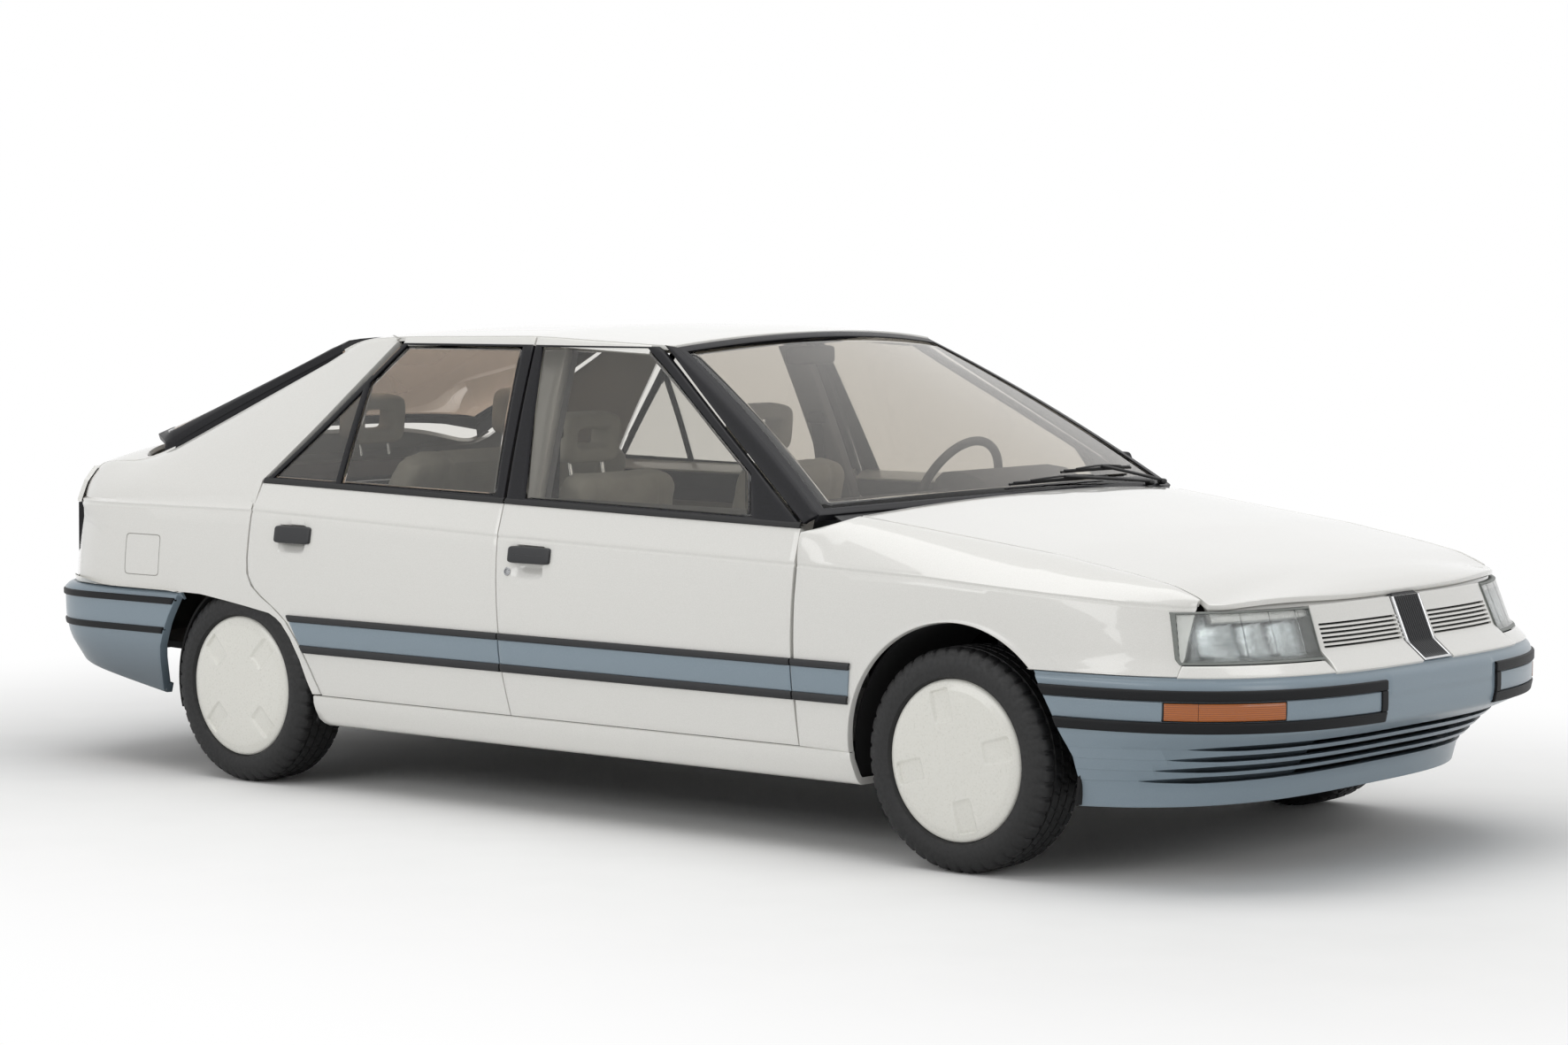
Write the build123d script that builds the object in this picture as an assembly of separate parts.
from build123d import *
import math
import os

# Five-door hatchback, millimetres. X runs forward, Y to the car's left, Z up.
# The origin is on the ground, midway between the axles. Left and right pieces
# are drawn once, on the right-hand side (negative Y), and mirrored.

# Driving dimensions
AXLE_FRONT = 1400.0
AXLE_REAR = -1400.0
TYRE_RADIUS = 298.0
TYRE_HALF_WIDTH = 95.0
FRONT_WHEEL_Y = 784.0      # middle of the front tyres' tread
REAR_WHEEL_Y = 772.0
RIM_RADIUS = 190.0
COVER_RADIUS = 216.0
COVER_STAND = 99.0         # how far the wheel covers stand out from the middle of the tread
HALF_WIDTH = 885.0         # body side at its widest
NOSE_START = 1550.0        # where the sides begin to turn in towards the nose
NOSE_LENGTH = 796.0
TAIL_START = -1870.0
TAIL_LENGTH = 525.0
NOSE_POWER = 3.2           # superellipse powers of the plan outline
TAIL_POWER = 5.0
WIDEST_Z = 560.0
TOWING_EYE_RADIUS = 14.0
SHUT_GAP = 6.0             # gap between panels that open
SKIN = 12.0                # thickness of fixed outer panels
DOOR_SKIN = 14.0           # outer lip of a door, at the full outline
DOOR_THICKNESS = 88.0      # lower door, skin to trim
FRAME_THICKNESS = 30.0     # window frame
GLASS = 5.0
LAP = 0.6                  # how far one curved face runs past the next, so that their solids join
ARCH_RADIUS = 364.0
LINER_FRONT = 366.0        # inner radius of the arch liners
LINER_REAR = 318.0
SILL_TOP = 292.0
SILL_BOTTOM = 200.0
FLOOR_Z = 215.0
REAR_FLOOR_Z = 390.0
BUMPER_TOP_FRONT = 552.0
BUMPER_TOP_REAR = 578.0
MIRROR_REACH = 908.0       # how far out the driver's mirror stands

os.makedirs("parts", exist_ok=True)


def lerp(x, table):
    """Piecewise-linear value at x from (x, value) pairs in rising order."""
    if x <= table[0][0]:
        return table[0][1]
    for (x0, v0), (x1, v1) in zip(table, table[1:]):
        if x <= x1:
            return v0 + (v1 - v0) * (x - x0) / (x1 - x0)
    return table[-1][1]


def ease(x, table):
    """Smooth value at x: the table's line averaged over a 120 mm window."""
    return sum(lerp(x + 15 * k, table) for k in range(-4, 5)) / 9


# Plan outline and side section of the lower body
def nose_shift(z):
    return lerp(z, [(200, -235), (260, -222), (330, -150), (370, -105), (413, -8), (450, 0), (524, 0),
                    (552, -12), (600, -72), (727, -125), (800, -160)])


def tail_shift(z):
    return lerp(z, [(250, 130), (320, 70), (400, 15), (470, 0), (560, 0), (578, 20), (620, 55), (840, 60), (900, 78), (950, 112),
                    (1060, 260)])


def nose_x(y, z):
    share = max(1 - abs(y / HALF_WIDTH) ** NOSE_POWER, 0) ** (1 / NOSE_POWER)
    return NOSE_START + NOSE_LENGTH * share + nose_shift(z)


def tail_x(y, z):
    share = max(1 - abs(y / HALF_WIDTH) ** TAIL_POWER, 0) ** (1 / TAIL_POWER)
    return TAIL_START - TAIL_LENGTH * share + tail_shift(z)


def crease_z(x):
    return lerp(x, [(-2300, 842), (-1300, 846), (-300, 817), (850, 791), (1280, 778), (1780, 750), (2040, 730)])


def section(x, z):
    """Half-width of the body side before it turns in at nose and tail."""
    low = 2.9e-4 if z < WIDEST_Z else 4.0e-4
    return HALF_WIDTH - low * (z - WIDEST_Z) ** 2 - 0.09 * max(0, z - crease_z(x))


def side_y(x, z):
    front = min(max((x - nose_shift(z) - NOSE_START) / NOSE_LENGTH, 0), 0.999)
    rear = min(max((TAIL_START + tail_shift(z) - x) / TAIL_LENGTH, 0), 0.999)
    return (section(x, z) * (1 - front ** NOSE_POWER) ** (1 / NOSE_POWER)
            * (1 - rear ** TAIL_POWER) ** (1 / TAIL_POWER))


# Upper body: belt line, roof rail, hatch seal and deck edge
def belt_z(x):
    return lerp(x, [(-2300, 885), (-1885, 936), (-1310, 933), (-300, 912), (850, 889), (905, 887)])


def belt_y(x):
    return ease(x, [(-2300, 735), (-2200, 772), (-1985, 790), (-1310, 803), (-300, 822), (905, 835)])


def top_z(x):
    return ease(x, [(-2300, 900), (-2250, 952), (-2180, 968), (-1985, 976), (-1885, 1016), (-1190, 1335), (-1100, 1366),
                    (-900, 1377), (-330, 1385), (170, 1360), (905, 1360)])


def top_y(x):
    return ease(x, [(-2300, 705), (-2200, 730), (-1985, 738), (-1885, 706), (-1190, 597), (-900, 617), (-330, 631),
                    (170, 582), (905, 580)])


def body_y(x, z):
    """Half-width of the whole side: flank, shoulder from crease to belt, then the leaning upper side."""
    crease, belt = crease_z(x), belt_z(x)
    if z <= crease:
        return side_y(x, z)
    if z <= belt:
        return side_y(x, crease) + (belt_y(x) - side_y(x, crease)) * (z - crease) / (belt - crease)
    t = (z - belt) / (top_z(x) - belt)
    return belt_y(x) + (top_y(x) - belt_y(x)) * t + 30 * t * (1 - t)


def hood_edge(x):
    """Y and Z of the hood's side shut line."""
    y = ease(x, [(850, 752), (960, 742), (1350, 717), (1610, 706), (1850, 700), (2100, 690)])
    z = lerp(x, [(850, 934), (960, 919), (1350, 872), (1610, 841), (1850, 801), (1975, 776), (2040, 752), (2090, 727)])
    return y, z


def hood_z(x, y):
    middle = lerp(x, [(900, 962), (1050, 948), (1350, 905), (1610, 872), (1850, 833), (2000, 806), (2120, 780),
                      (2190, 756), (2240, 722)])
    edge_y, edge_z = hood_edge(min(x, 2090))
    return middle + (edge_z - middle) * min(abs(y) / edge_y, 1) ** 2.2


def roof_z(x, y):
    middle = ease(x, [(-1350, 1377), (-1165, 1392), (-800, 1407), (-250, 1414), (60, 1405), (240, 1390)])
    return middle + (top_z(x) - middle) * (abs(y) / top_y(x)) ** 2.2


def bow(s, reach):
    """How far a curve across the car stands out at share s of its half-width."""
    return reach * (1 - s * s)


def screen_point(s, t):
    """Windscreen: s across from -1 to 1, t from the base, 0, to the top, 1."""
    y = (827 - 246 * t) * s
    x = 902 - 733 * t + bow(s, 125 - 70 * t) + 40 * t * (1 - t)
    z = 921 + 436 * t + bow(s, 14 + 20 * t) + 56 * t * (1 - t)
    return x, y, z


def backlight_point(s, t):
    """Rear glass, the same way."""
    y = (703 - 106 * t) * s
    x = -1882 + 690 * t - bow(s, 58 - 8 * t) - 30 * t * (1 - t)
    z = 1018 + 319 * t + bow(s, 4 + 34 * t) + 60 * t * (1 - t)
    return x, y, z


def deck_z(x, y):
    """Flat deck behind the rear glass, falling away to the tail."""
    middle = ease(x, [(-2420, 740), (-2330, 885), (-2290, 940), (-2240, 984), (-2170, 1010), (-2080, 1022),
                      (-1990, 1022), (-1860, 1010)])
    return middle - 48 * abs(y / 735) ** 2.5


# Solids from curved faces
def steps(start, stop, count):
    return [start + (stop - start) * k / (count - 1) for k in range(count)]


def skin(point, us, vs):
    """Curved face through point(u, v) over two lists of parameters."""
    grid = [[Vector(*point(u, v)) for v in vs] for u in us]
    return Face.make_surface_from_array_of_points(grid, tol=0.05)


def thick(face, vector):
    """Solid swept from a curved face along a vector."""
    vector = Vector(*vector)
    return extrude(face, amount=vector.length, dir=vector.normalized())


def prism(points, direction):
    """Prism through the whole car on an outline given at the start of its direction."""
    return extrude(make_face(Polyline(*points, close=True)), amount=Vector(*direction).length,
                   dir=Vector(*direction).normalized())


def prism_xz(points, y_from=-1000, y_to=1000):
    return prism([(x, y_from, z) for x, z in points], (0, y_to - y_from, 0))


def prism_xy(points, z_from=0, z_to=1600):
    return prism([(x, y, z_from) for x, y in points], (0, 0, z_to - z_from))


def prism_yz(points, x_from, x_to):
    return prism([(x_from, y, z) for y, z in points], (x_to - x_from, 0, 0))


def block(x0, x1, y0, y1, z0, z1):
    return Pos((x0 + x1) / 2, (y0 + y1) / 2, (z0 + z1) / 2) * Box(abs(x1 - x0), abs(y1 - y0), abs(z1 - z0))


def barrel(radius, y0, y1, x=0.0, z=0.0):
    """Cylinder along Y."""
    return Pos(x, (y0 + y1) / 2, z) * Rot(90, 0, 0) * Cylinder(radius, abs(y1 - y0))


def mirrored(shape):
    return mirror(shape, about=Plane.XZ)


def pair(shape):
    """The right-hand solids and their mirror image, as one node."""
    return Compound(children=[*shape.solids(), *mirrored(shape).solids()])


def save(name, shape):
    solids = shape.solids()
    export_step(solids[0] if len(solids) == 1 else Compound(children=solids), f"parts/{name}.step")


def slab(out, inward, xs, zs):
    """Piece of the right-hand side from `out` mm proud of the body to `inward` mm behind it."""
    face = skin(lambda x, z: (x, -body_y(x, z) - out, z), xs, zs)
    return thick(face, (0, out + inward, 0))


# Shut lines in side view, from the ground up
PILLAR_LINE = [(-229, 298), (-250, 420), (-257, 534), (-272, 700), (-282, 827), (-287, 905), (-277, 917), (-336, 1367),
               (-339, 1420)]
FRONT_EDGE = [(862, 298), (850, 560), (849, 893), (125, 1362)]
REAR_EDGE = [(-1030, 298), (-1160, 520), (-1342, 632), (-1345, 930), (-905, 1380)]


def shifted(points, dx):
    return [(x + dx, z) for x, z in points]


FRONT_DOOR = shifted(PILLAR_LINE, SHUT_GAP / 2) + [(125, 1420)] + FRONT_EDGE[::-1]
REAR_DOOR = REAR_EDGE + [(-905, 1420)] + shifted(PILLAR_LINE, -SHUT_GAP / 2)[::-1]
FRONT_WINDOW = [(-210, 921), (-304, 1354), (85, 1351), (610, 1022), (672, 905)]
REAR_WINDOW = [(-330, 925), (-384, 1354), (-880, 1350), (-998, 1234), (-998, 936)]
QUARTER_WINDOW = [(-1022, 938), (-1022, 1211), (-1300, 943)]
FRONT_INNER = [(-205, 320), (-235, 560), (-262, 880), (825, 865), (826, 560), (838, 320)]
REAR_INNER = [(-1008, 320), (-1050, 400), (-1102, 500), (-1148, 545), (-1225, 610), (-1310, 660), (-1320, 900),
              (-310, 880), (-282, 560), (-250, 320)]
BAND = [(-1158, 536), (-1090, 420), (1045, 420), (1045, 536)]
BAND_STAND = 9.0


def roofed(shape, below):
    """Cuts a side piece off along the roof's edge, some way below it."""
    edge = skin(lambda x, y: (x, y, top_z(x) - below), steps(-1300, 200, 16), [-900, -300])
    return shape - thick(edge, (0, 0, 120))


def door(outline, inner, windows, x_range, sweep):
    """Door: thin skin at the full outline, thick box set back from it, window frame above."""
    low_x, high_x = x_range
    xs = steps(low_x, high_x, 27)
    shell = slab(0, DOOR_SKIN, xs, steps(285, 1410, 27)) & prism_xz(outline)
    box = slab(-9, DOOR_THICKNESS, xs, steps(285, 925, 12)) & prism_xz(inner)
    frame = slab(-5, FRAME_THICKNESS, xs, steps(860, 1410, 12)) & prism_xz(sweep)
    solid = roofed(shell, 3) + box + roofed(frame, 18)
    for window in windows:
        solid -= prism_xz(window)
    panes = []
    for window in windows:
        pane = slab(-4, 4 + GLASS, xs, steps(880, 1400, 10)) & prism_xz(window)
        panes += pane.solids()
    band = slab(BAND_STAND, 3, xs, steps(380, 580, 5)) & prism_xz(outline) & prism_xz(BAND)
    return solid + band, Compound(children=panes)


FRONT_SWEEP = [(-262, 870), (-262, 917), (-322, 1400), (110, 1400), (110, 1350), (815, 895), (815, 870)]
REAR_SWEEP = [(-1325, 890), (-1325, 925), (-905, 1358), (-905, 1400), (-355, 1400), (-301, 917), (-299, 890)]

door_front, glass_front = door(FRONT_DOOR, FRONT_INNER, [FRONT_WINDOW], (-400, 900), FRONT_SWEEP)
door_rear, glass_rear = door(REAR_DOOR, REAR_INNER, [REAR_WINDOW, QUARTER_WINDOW], (-1400, -180), REAR_SWEEP)
for side, turn in (("right", lambda s: s), ("left", mirrored)):
    save(f"door_front_{side}", turn(door_front))
    save(f"glass_front_{side}", turn(glass_front))
    save(f"door_rear_{side}", turn(door_rear))
    save(f"glass_rear_{side}", turn(glass_rear))

# Fixed side panels: a flank up to the crease, and a shoulder that laps into it


def flank(xs):
    """Flank from z 230 to just past the crease."""
    def point(x, v):
        z = 230 + (crease_z(x) + LAP - 230) * v
        return x, -side_y(x, z), z
    return thick(skin(point, xs, steps(0, 1, 12)), (0, SKIN, 0))


def wing_top(x, u):
    """Top of the front wing, rounding over from the crease, 0, to the hood's edge, 1."""
    crease = crease_z(x)
    edge_y, edge_z = hood_edge(x)
    side = side_y(x, crease) - LAP
    y = side + (edge_y - side) * u + 14 * u * (1 - u)
    return x, -y, crease + (edge_z - crease) * (1 - (1 - u) ** 1.7)


def quarter_top(x, u):
    """Shoulder and roof pillar behind the rear door, from the crease to the roof, seal or deck edge."""
    crease = crease_z(x)
    z = crease + (top_z(x) - 3 - crease) * u
    return x, -(body_y(x, z) - LAP * (1 - u)), z


def arch_front():
    return barrel(ARCH_RADIUS, -1000, 1000, AXLE_FRONT, TYRE_RADIUS) + block(
        AXLE_FRONT - ARCH_RADIUS, AXLE_FRONT + ARCH_RADIUS, -1000, 1000, 0, TYRE_RADIUS)


REAR_ARCH = [(-1072, 0), (-1072, 290), (-1112, 399), (-1150, 465), (-1185, 505), (-1240, 535), (-1300, 552),
             (-1397, 568), (-1520, 576), (-1652, 576), (-1652, 582), (-1760, 582), (-1764, 0)]
COWL_LINE = [(700, -860), (855, -860), (855, -838), (905, -822), (972, -752)]

wing = flank(steps(850, 2075, 21)) + thick(skin(wing_top, steps(850, 2075, 21), steps(0, 1, 9)), (0, 0, -SKIN))
wing &= prism_xz([(868, 292), (856, 560), (855, 960), (2058, 960), (2058, 728), (2027, 724), (2055, 575), (2055, 556), (1500, 556),
                  (1500, 292)])
wing -= arch_front()
hood_line = [(x, -hood_edge(x)[0] - 3) for x in (985, 1150, 1350, 1610, 1850, 2100)]
wing -= prism_xy(COWL_LINE + hood_line + [(2100, -400), (700, -400)])
wing += slab(BAND_STAND, 3, steps(830, 1080, 5), steps(380, 580, 5)) & prism_xz(
    [(864, 420), (1045, 420), (1045, 536), (859, 536)])

quarter = flank(steps(-2262, -850, 25)) + thick(skin(quarter_top, steps(-2262, -850, 31), steps(0, 1, 13)),
                                               (0, SKIN, 0))
quarter &= prism_xz([(-911, 1400), (-1351, 934), (-1348, 628), (-1170, 514), (-1041, 292), (-1700, 292), (-1700, 580),
                     (-2251, 580), (-2251, 836), (-2276, 838), (-2248, 905), (-2185, 962),
                     (-1975, 1000), (-1880, 1060), (-1190, 1400)])
quarter -= prism_xz(REAR_ARCH)
quarter += slab(-SKIN + 4, 58, steps(-1850, -960, 16), steps(880, 1330, 9)) & prism_xz(
    [(-1372, 900), (-1372, 934), (-1000, 1312), (-1110, 1318), (-1790, 990), (-1800, 900)])
sill = slab(0, 120, steps(-1090, 1060, 19), steps(195, 300, 5)) & prism_xz(
    [(-1067, 292), (-1063, 228), (-1036, SILL_BOTTOM), (1050, SILL_BOTTOM), (1034, 292)])
sill -= barrel(LINER_FRONT + 9, -829, 829, AXLE_FRONT, TYRE_RADIUS)

# B-pillars behind the doors and cant rails under the roof's edges
post = slab(-DOOR_THICKNESS - 8, DOOR_THICKNESS + 44, steps(-420, -180, 6), steps(270, 940, 12)) & prism_xz(
    [(-335, 292), (-335, 940), (-225, 940), (-205, 292)])
post += slab(-FRAME_THICKNESS - 8, DOOR_THICKNESS + 44, steps(-420, -180, 6), steps(895, 960, 5)) & prism_xz(
    [(-335, 912), (-340, 950), (-230, 950), (-225, 912)])
post += slab(-FRAME_THICKNESS - 8, FRAME_THICKNESS + 40, steps(-460, -180, 6), steps(900, 1380, 10)) & prism_xz(
    [(-335, 905), (-400, 1366), (-290, 1366), (-225, 905)])
rail = slab(-FRAME_THICKNESS - 8, FRAME_THICKNESS + 36, steps(-1230, 160, 15), steps(1250, 1372, 6)) & prism_xz(
    [(-1120, 1362), (-1120, 1330), (120, 1330), (60, 1366), (-330, 1378)])

roof = thick(skin(lambda x, y: (x, y, roof_z(x, y)), steps(-1260, 235, 21), steps(-640, 640, 17)), (0, 0, -SKIN))
edge = [(x, top_y(x) - DOOR_SKIN - 7) for x in steps(-1185, 150, 10)]
front_edge = [(902 - 733 + bow(s, 55) - 16, 581 * s) for s in steps(0.95, -0.95, 11)]
rear_edge = [(-1192 - bow(s, 50) + 8, 597 * s) for s in steps(-0.95, 0.95, 11)]
roof &= prism_xy(edge + front_edge + [(x, -y) for x, y in edge[::-1]] + rear_edge, 1200, 1500)
roof += rail - prism_xz([(-420, 1300), (-420, 1400), (-270, 1400), (-270, 1300)])
roof += mirrored(rail) - prism_xz([(-420, 1300), (-420, 1400), (-270, 1400), (-270, 1300)])

# Windscreen and its black surround, with the A-pillars
NORMAL_SCREEN = Vector(0.51, 0, 0.86)
ring = thick(skin(screen_point, steps(-1, 1, 21), steps(0, 1, 11)), NORMAL_SCREEN * -22)
hole = thick(skin(lambda s, t: tuple(Vector(*screen_point(s, t)) + NORMAL_SCREEN * 10),
                  steps(-0.915, 0.915, 19), steps(0.055, 0.93, 9)), NORMAL_SCREEN * -60)
screen_frame = ring - hole
pane = thick(skin(lambda s, t: tuple(Vector(*screen_point(s, t)) - NORMAL_SCREEN * 5),
                  steps(-0.925, 0.925, 19), steps(0.045, 0.94, 9)), NORMAL_SCREEN * -GLASS)
windscreen = pane & hole
pillar = slab(0, 24, steps(100, 905, 17), steps(880, 1372, 10)) & prism_xz(
    [(131, 1366), (172, 1362), (905, 925), (905, 893), (856, 893)])
pillar -= block(100, 220, -568, 0, 1330, 1400)
screen_frame += pillar
screen_frame += mirrored(pillar)

# Hood
hood = thick(skin(lambda x, y: (x, y, hood_z(x, y)), steps(940, 2240, 31), steps(-770, 770, 21)), (0, 0, -14))
rear = [(986 + bow(s, 66), 738 * s) for s in steps(-1, 1, 9)]
sides = [(x, hood_edge(x)[0] - 3) for x in (1150, 1350, 1610, 1850, 1975, 2060)]
front = [(nose_x(s * 697, 727), s * 697) for s in steps(1, -1, 13)]
hood &= prism_xy(rear + sides + front + [(x, -y) for x, y in sides[::-1]], 600, 1100)
frame_in = [(1060, -600), (1060, 600), (1900, 570), (1990, 480), (2060, 0), (1990, -480), (1900, -570)]
brace = thick(skin(lambda x, y: (x, y, hood_z(x, y) - 13), steps(1010, 2160, 21), steps(-690, 690, 15)), (0, 0, -26))
brace &= prism_xy([(1050, -660), (1085, -300), (1092, 0), (1085, 300), (1050, 660), (1900, 640), (2100, 420), (2150, 0), (2100, -420), (1900, -640)])
brace -= prism_xy([(1130, -600), (1130, -40), (1960, -40), (1960, -520), (1860, -580)])
brace -= prism_xy([(1130, 600), (1130, 40), (1960, 40), (1960, 520), (1860, 580)])
hood += brace

# Nose: grille panel, headlamps and the upright insert, all clear of the hood's front edge
PANEL_TOP = 713.0


def nose_slab(out, inward, z0, z1, reach=835, shrink=0):
    face = skin(lambda y, z: (nose_x(y, z) + out, y, z), [reach * math.sin(a) for a in steps(-1.45, 1.45, 31)],
                steps(z0, z1, 8))
    return thick(face, (-out - inward, 0, 0))


nose = nose_slab(0, 26, 554, PANEL_TOP)
lamp_cut = prism_yz([(-421, 760), (-434, 582), (-900, 586), (-900, 760)], 1700, 2400) + prism_yz(
    [(421, 760), (434, 582), (900, 586), (900, 760)], 1700, 2400)
slots = [prism_yz([(84, z), (84, z + 5), (400, z + 5), (400, z)], 1900, 2400) for z in steps(610, 665, 6)]
grille_panel = nose - lamp_cut - prism_yz([(-78, 552), (-78, 732), (78, 732), (78, 552)], 1700, 2400)
for slot in slots:
    grille_panel -= slot + mirrored(slot)
grille_panel &= prism_xz([(2058, 554), (2058, PANEL_TOP), (2400, PANEL_TOP), (2400, 554)])
lamp = nose_slab(-1, 75, 560, 735) & prism_yz([(-425, PANEL_TOP), (-438, 585), (-860, 589), (-860, PANEL_TOP)], 1700, 2400)
lamp &= prism_xz([(2031, 760), (2060, 570), (2400, 570), (2400, 760)])
insert = nose_slab(6, 30, 548, 735) & prism_yz([(-74, 556), (-74, PANEL_TOP), (74, PANEL_TOP), (74, 556)], 1700, 2400)
for y in steps(-56, 56, 8):
    insert -= prism_yz([(y - 4, 568), (y - 4, 702), (y + 4, 702), (y + 4, 568)], 2200, 2400) - prism_xz(
        [(1900, 500), (2258, 500), (2178, 760), (1900, 760)])


# Bumpers: plan outlines at several heights joined by ruled faces
RING_END = 1200.0


def plan_ring(z, start, length, power, shift, ahead, out, inward):
    """Closed plan outline of a bumper at height z: nose when ahead is 1, tail when it is -1."""
    def curve(offset, angle):
        half = section(0, z) + offset
        run = abs(math.cos(angle)) ** (2 / power)
        rise = math.copysign(abs(math.sin(angle)) ** (2 / power), angle)
        return ahead * (start + (length + offset) * run) + shift, half * rise, z
    angles = [math.pi / 2 * math.copysign(abs(k) ** 1.35, k) for k in steps(-1, 1, 25)]
    outer = [curve(out, a) for a in angles]
    inner = [curve(-inward, a) for a in angles]
    end = ahead * RING_END
    front = Spline(*outer)
    back = Spline(*inner)
    first = Polyline(outer[0], (end, outer[0][1], z), (end, inner[0][1], z), inner[0])
    last = Polyline(outer[-1], (end, outer[-1][1], z), (end, inner[-1][1], z), inner[-1])
    return make_face(Wire([*front.edges(), *last.edges(), *back.edges(), *first.edges()]))


def front_ring(levels, out, inward):
    rings = [plan_ring(z, NOSE_START, NOSE_LENGTH, NOSE_POWER, nose_shift(z), 1, out, inward) for z in levels]
    return loft(rings, ruled=True)


def rear_ring(levels, out, inward):
    rings = [plan_ring(z, -TAIL_START, TAIL_LENGTH, TAIL_POWER, tail_shift(z), -1, out, inward) for z in levels]
    return loft(rings, ruled=True)


front_trim = prism_xz([(1100, 100), (1100, 700), (1600, 700), (1664, 556), (1722, 446), (1764, 340), (1803, 215),
                       (1803, 100)])
front_bumper = front_ring([206, 262, 330, 370, 413, 450, 524, BUMPER_TOP_FRONT], 0, 45) - front_trim
groove = front_ring([255, 330, 378], 5, 12)
for middle, half in ((276, 9), (306, 9), (336, 9), (365, 8)):
    outline = [(760, middle), (660, middle + half), (-660, middle + half), (-760, middle), (-660, middle - half),
               (660, middle - half)]
    front_bumper -= groove & prism_yz(outline, 1500, 2500)
front_bumper -= barrel(LINER_FRONT + 9, -829, 829, AXLE_FRONT, TYRE_RADIUS)
FRONT_STRIP_LIFT = 9.5
strip = front_ring([413, 450, 496, 524], FRONT_STRIP_LIFT, -1) - front_trim
strip -= prism_yz([(-299, 442), (-299, 496), (-1000, 496), (-1000, 442)], 1500, 2500)
strip -= prism_yz([(299, 442), (299, 496), (1000, 496), (1000, 442)], 1500, 2500)
strip -= prism_yz([(-275, 400), (-275, 540), (275, 540), (275, 400)], 1500, 2500)
indicator = front_ring([444, 450, 494], 5, -1) & prism_yz([(-614, 430), (-614, 510), (-825, 510), (-825, 430)],
                                                         1500, 2500)
rear_trim = prism_xz([(-1100, 0), (-1100, 700), (-1600, 700), (-1655, 580), (-1722, 480), (-1762, 390), (-1764, 0)])
rear_bumper = rear_ring([250, 320, 400, 470, 560, BUMPER_TOP_REAR], 0, 45) - rear_trim
rear_strip = (rear_ring([440, 461], 6, -1) + rear_ring([535, 556], 6, -1)) - rear_trim

# Tail: lamps and the panel below them
def tail_slab(out, inward, z0, z1):
    face = skin(lambda y, z: (tail_x(y, z) - out, y, z), [842 * math.sin(a) for a in steps(-1.4, 1.4, 31)],
                steps(z0, z1, 8))
    return thick(face, (out + inward, 0, 0))


tail_lamp = tail_slab(2, 60, 600, 850) & prism_yz([(-424, 632), (-424, 829), (-900, 829), (-900, 632)], -2600, -1900)
tail_lamp &= prism_xz([(-2256, 600), (-2256, 860), (-2600, 860), (-2600, 600)])
tail_panel = tail_slab(0, 30, 575, 640) & prism_yz([(-900, 580), (-900, 629), (900, 629), (900, 580)], -2600, -1900)
tail_panel -= prism_xz([(-2254, 500), (-2254, 700), (-1800, 700), (-1800, 500)])

# Hatch: lower panel, glass and its black frame
under_deck = thick(skin(lambda x, y: (x, y, deck_z(x, y)), steps(-2420, -1860, 19), steps(-800, 800, 17)), (0, 0, -420))
ahead_of_tail = thick(skin(lambda y, z: (tail_x(y, z), y, z), [800 * math.sin(a) for a in steps(-1.4, 1.4, 27)],
                           steps(560, 1060, 11)), (560, 0, 0))
hatch_low = (under_deck & ahead_of_tail) - (Pos(0, 0, -14) * under_deck & Pos(14, 0, 0) * ahead_of_tail)
side_cut = prism_xy([(-1800, 684), (-1888, 684), (-1985, 716), (-2192, 712), (-2192, 900), (-1800, 900)])
side_cut += prism_xz([(-2282, 500), (-2282, 836), (-2254, 905), (-2190, 968), (-2190, 1100), (-2100, 1100), (-2100, 500)],
                     700, 1000)
side_cut += prism_yz([(419, 500), (419, 834), (1000, 834), (1000, 500)], -2600, -1800)
hatch_low -= side_cut
hatch_low -= mirrored(side_cut)
hatch_low -= block(-2600, -1700, -1000, 1000, 400, 635)
hatch_low -= prism_xy([(-1600, -900), (-1600, 900), (-1874, 710), (-1908, 520), (-1930, 0), (-1908, -520), (-1874, -710)],
                      500, 1200)
NORMAL_BACK = Vector(-0.42, 0, 0.908)
back_ring = thick(skin(backlight_point, steps(-0.972, 0.972, 21), steps(0.0, 0.985, 11)), NORMAL_BACK * -26)
back_hole = thick(skin(lambda s, t: tuple(Vector(*backlight_point(s, t)) + NORMAL_BACK * 10),
                       steps(-0.88, 0.88, 19), steps(0.09, 0.92, 9)), NORMAL_BACK * -60)
backlight = thick(skin(lambda s, t: tuple(Vector(*backlight_point(s, t)) - NORMAL_BACK * 4),
                       steps(-0.9, 0.9, 19), steps(0.07, 0.94, 9)), NORMAL_BACK * -GLASS) & back_hole
hatch_frame = hatch_low + (back_ring - back_hole)

# Wheels: tyre, then rim and hub behind a flush cover with four pressed pockets
def tyre(x, y):
    """Tyre with a plain tread; its sidewalls stand back where the cover lies over them."""
    half = TYRE_HALF_WIDTH
    side = [(RIM_RADIUS, half - 22), (COVER_RADIUS + 2, half - 18), (COVER_RADIUS + 6, half - 3), (250, half),
            (282, half - 8), (TYRE_RADIUS, half - 26)]
    profile = side + [(r, -h) for r, h in side[::-1]]
    face = make_face(Polyline(*[(r, h, 0) for r, h in profile], close=True))
    return Pos(x, y, TYRE_RADIUS) * revolve(face, Axis.Y)


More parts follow.
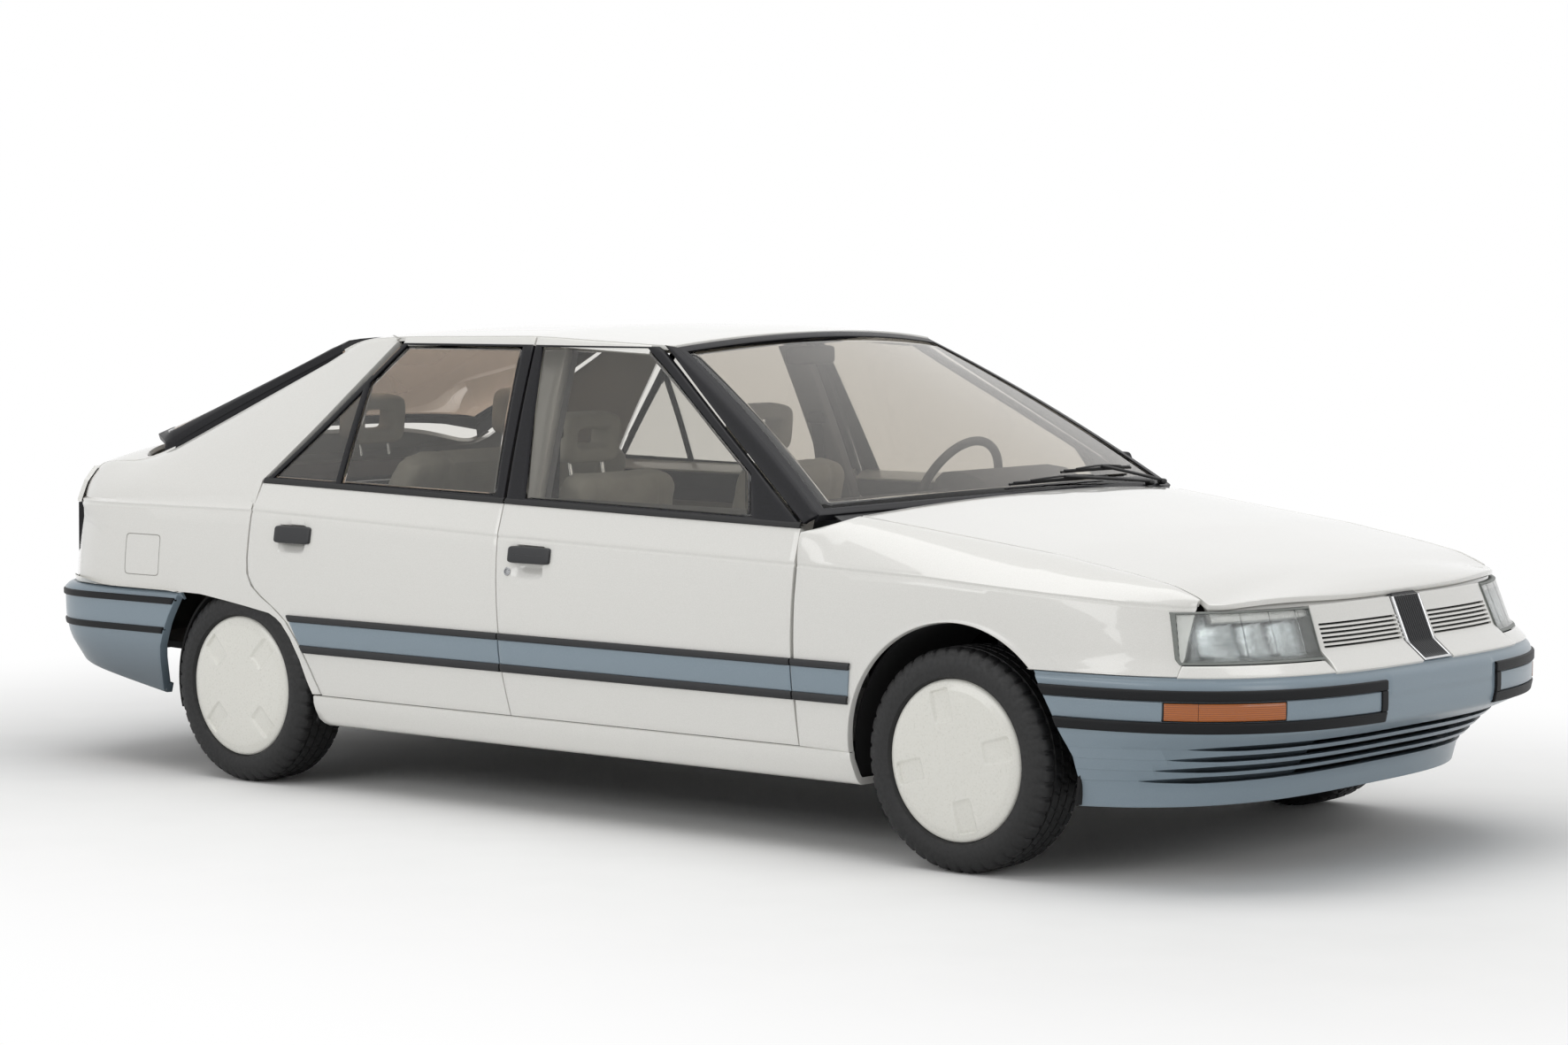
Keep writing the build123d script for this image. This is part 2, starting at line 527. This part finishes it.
def wheel(x, y, turn):
    """Rim drum and full cover, facing out. The cover's pockets stand turned by an angle."""
    outer = COVER_STAND
    face = make_face(Polyline((0, outer - 4), (90, outer - 2), (150, outer), (196, outer - 4), (COVER_RADIUS, outer - 15),
                              (COVER_RADIUS, outer - 19), (RIM_RADIUS - 1, outer - 19), (RIM_RADIUS - 1, -78),
                              (RIM_RADIUS - 12, -78), (RIM_RADIUS - 12, outer - 40), (60, outer - 40), (60, -40),
                              (0, -40), close=True))
    solid = revolve(face, Axis.Y)
    for k in range(4):
        solid -= Rot(0, turn + 90 * k, 0) * Pos(118, outer, 0) * Box(70, 12, 46)
    if y < 0:
        solid = mirrored(solid)
    return Pos(x, y, TYRE_RADIUS) * solid


def knuckle(x, wheel_y):
    """Right-hand hub carrier: stub axle, brake disc and upright."""
    inner = 42 - wheel_y
    solid = barrel(52, inner, inner + 102, x, TYRE_RADIUS) + barrel(150, inner + 42, inner + 52, x, TYRE_RADIUS)
    solid += block(x - 32, x + 32, inner + 50, inner + 92, 190, 430)
    return solid


front_knuckle = knuckle(AXLE_FRONT, FRONT_WHEEL_Y) + barrel(22, -668, -632, AXLE_FRONT - 110, 300) + block(
    AXLE_FRONT - 120, AXLE_FRONT - 20, -668, -650, 288, 312)
rear_knuckle = knuckle(AXLE_REAR, REAR_WHEEL_Y)

# Underbody
floor = block(-1070, 1010, -722, 722, FLOOR_Z, FLOOR_Z + 22) + block(-1070, -1052, -722, 722, FLOOR_Z, REAR_FLOOR_Z)
floor += prism_xy([(-1060, 560), (-1760, 560), (-1760, 700), (-2226, 640), (-2226, -640), (-1760, -700), (-1760, -560),
                   (-1060, -560)], REAR_FLOOR_Z - 22, REAR_FLOOR_Z)
floor += block(-1060, 1010, -105, 105, FLOOR_Z + 20, FLOOR_Z + 130)
for side in (1, -1):
    floor += block(-1060, 1010, side * 690, side * 722, FLOOR_Z, SILL_TOP)
    floor += block(1005, 2080, side * 400, side * 452, 340, 400)
    floor += prism_xz([(1005, FLOOR_Z), (1005, 400), (1080, 400), (1080, 340)], side * 400, side * 452)
    floor += block(-1765, -1075, side * 545, side * 562, REAR_FLOOR_Z - 10, 640)
floor += block(990, 1012, -722, 722, FLOOR_Z, 870) + block(905, 1012, -722, 722, 868, 884)
floor += block(2060, 2095, -545, 545, 350, 540)
floor += block(-2246, -2224, -600, 600, REAR_FLOOR_Z - 60, 560)


def liner(x, radius, y_in, y_out):
    """Arch liner: a half shell over a wheel, open towards the wheel."""
    shell = barrel(radius + 8, y_in, y_out, x, TYRE_RADIUS) - barrel(radius, y_in - 1, y_out + 1, x, TYRE_RADIUS)
    return shell - block(x - 500, x + 500, -1000, 1000, -500, TYRE_RADIUS - 90)


front_liner = liner(AXLE_FRONT, LINER_FRONT, -828, -470)
rear_liner = liner(AXLE_REAR, LINER_REAR, -828, -566)

subframe = block(1250, 1550, -400, 400, 175, 235)
for side in (1, -1):
    subframe += block(1270, 1340, side * 395, side * 470, 180, 330)
    subframe += prism_xy([(1290, side * 395), (1500, side * 395), (1425, side * 600), (1375, side * 600)], 180, 205)
    subframe += block(AXLE_FRONT - 8, AXLE_FRONT + 30, side * 596, side * 620, 182, 620)
subframe += block(1540, 1990, -300, -270, 200, 235) + block(1960, 1990, -340, -230, 200, 290)
subframe -= barrel(TOWING_EYE_RADIUS, -400, -200, 1975, 262)
engine = block(1130, 1960, -330, 330, 245, 720)
rear_axle = block(-1440, -1360, -530, 530, 250, 300)
for side in (1, -1):
    rear_axle += block(-1432, -1368, side * 500, side * 640, 262, 330)
    rear_axle += block(-1400, -1100, side * 490, side * 528, 250, 290)
exhaust = block(-1250, 1200, 150, 196, 165, 205)
exhaust += block(-2150, -1700, 180, 480, 200, 330) + block(-1720, -1240, 150, 196, 165, 205)
exhaust += block(-2340, -2140, 300, 345, 205, 245)

# Cabin
def seat(y, ahead):
    """Front seat on the line y, moved ahead on its slides."""
    cushion = prism_xz([(-290, 300), (210, 330), (260, 400), (235, 452), (-200, 440), (-300, 420)], y - 250, y + 250)
    back = prism_xz([(-300, 420), (-180, 425), (-330, 1000), (-440, 1000), (-430, 900)], y - 240, y + 240)
    head = prism_xz([(-355, 996), (-345, 1150), (-450, 1160), (-440, 996)], y - 130, y + 130)
    head -= prism_xz([(-300, 1050), (-300, 1110), (-500, 1110), (-500, 1050)], y - 60, y + 60)
    return (Pos(ahead, 0, 0) * (cushion + back + head)).solids()


bench = prism_xz([(-1046, 347), (-640, 347), (-600, 400), (-625, 455), (-1040, 440)], -540, 540)
bench += prism_xz([(-1060, 430), (-960, 440), (-1290, 1030), (-1400, 1030)], -540, 540)
for y in (-340, 340):
    head = prism_xz([(-1294, 1025), (-1300, 1180), (-1385, 1188), (-1398, 1025)], y - 118, y + 118)
    bench += head - prism_xz([(-1200, 1068), (-1200, 1130), (-1500, 1130), (-1500, 1068)], y - 55, y + 55)
shelf = prism_xz([(-1365, 905), (-1365, 920), (-1840, 935), (-1840, 920)], -540, 540)
dash = prism_xz([(895, 620), (895, 865), (850, 915), (640, 935), (560, 880), (600, 700), (700, 620)], -690, 690)
dash += prism_xz([(800, 910), (765, 968), (620, 985), (585, 965), (600, 880)], 60, 570)
dash += block(560, 700, -110, 110, FLOOR_Z + 130, 700)
WHEEL_TILT = 24
COLUMN = (470, 330, 890)
rim = Torus(185, 14)
hub = Cylinder(52, 40) + Pos(0, 0, -6) * Box(46, 350, 14) + Pos(-90, 0, -6) * Box(180, 46, 14)
steering_wheel = Pos(*COLUMN) * Rot(0, -90 + WHEEL_TILT, 0) * (rim + hub)
dash += Pos(*COLUMN) * Rot(0, -90 + WHEEL_TILT, 0) * Pos(0, 0, -92) * Cylinder(28, 130)


def rod(start, end, radius):
    start, end = Vector(*start), Vector(*end)
    return Plane(origin=(start + end) / 2, z_dir=(end - start).normalized()) * Cylinder(radius, (end - start).length)


def over_screen(s, t, height):
    return Vector(*screen_point(s, t)) + NORMAL_SCREEN * height


wipers = []
for start, middle, end, pivot, height in ((-0.115, 0.2, 0.52, 0.78, 0.05), (0.25, 0.53, 0.8, 0.9, 0.09)):
    wiper = rod(over_screen(start, height, 16), over_screen(end, height, 16), 8)
    wiper += rod(over_screen(middle, height, 20), over_screen(pivot, 0.0, 14), 7)
    wipers += wiper.solids()
wipers = Compound(children=wipers)
mirror_body = block(640, 720, 842, MIRROR_REACH, 925, 1010) - block(600, 652, 850, MIRROR_REACH - 8, 933, 1002)
mirror_body += prism_xy([(650, 814), (720, 814), (720, 850), (650, 850)], 935, 965)

save("front_wings", pair(wing))
save("quarter_panels", pair(quarter))
save("sills", pair(sill))
save("b_pillars", pair(post))
save("roof", roof)
save("screen_surround", screen_frame)
save("windscreen", windscreen)
save("hood", hood)
save("grille_panel", grille_panel)
save("grille_insert", insert)
save("headlamps", pair(lamp))
save("front_bumper", front_bumper)
save("bumper_strips", Compound(children=[*strip.solids(), *rear_strip.solids()]))
save("indicators", pair(indicator))
save("rear_bumper", rear_bumper)
save("tail_lamps", pair(tail_lamp))
save("tail_panel", tail_panel)
save("hatch", hatch_frame)
save("hatch_glass", backlight)

for end, x, y, turns in (("front", AXLE_FRONT, FRONT_WHEEL_Y, (15, 75)), ("rear", AXLE_REAR, REAR_WHEEL_Y, (45, 30))):
    for side, sign, turn in (("right", -1, turns[0]), ("left", 1, turns[1])):
        save(f"tyre_{end}_{side}", tyre(x, sign * y))
        save(f"wheel_{end}_{side}", wheel(x, sign * y, turn))
save("knuckle_front_right", front_knuckle)
save("knuckle_front_left", mirrored(front_knuckle))
save("rear_axle", rear_axle + rear_knuckle + mirrored(rear_knuckle))
save("floor_pan", floor)
save("arch_liners", Compound(children=[*pair(front_liner).solids(), *pair(rear_liner).solids()]))
save("front_subframe", subframe)
save("engine", engine)
save("exhaust", exhaust)
save("front_seats", Compound(children=[*seat(-365, 0), *seat(365, 60)]))
save("rear_bench", bench)
save("parcel_shelf", shelf)
save("dashboard", dash)
save("steering_wheel", steering_wheel)
save("wipers", wipers)
save("door_mirror_left", mirror_body)
